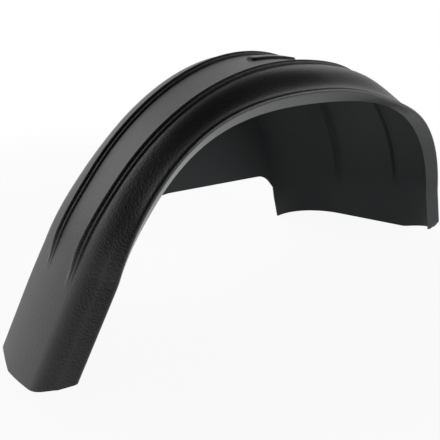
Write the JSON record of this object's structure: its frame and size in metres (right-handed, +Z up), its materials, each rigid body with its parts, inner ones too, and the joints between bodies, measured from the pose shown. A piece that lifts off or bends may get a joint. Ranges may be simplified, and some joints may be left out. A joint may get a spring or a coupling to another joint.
{
  "type": "wheel arch liner",
  "caption": "Moulded black plastic wheel arch liner: a tapering arched shell with a turned-in lip, raised stiffening beads and a back wall cut away for the axle.",
  "frame": {"origin": "middle of the bounding box on the plane of the two feet", "axes": "+X along the span from the narrow leg to the wide leg, +Y from the open wheel side to the back wall, +Z up"},
  "size_m": [0.7172, 0.2636, 0.2995],
  "materials": {
    "liner": "fine grained, satin"
  },
  "bodies": {
    "root": {"arch_liner": "liner"}
  },
  "joints": []
}
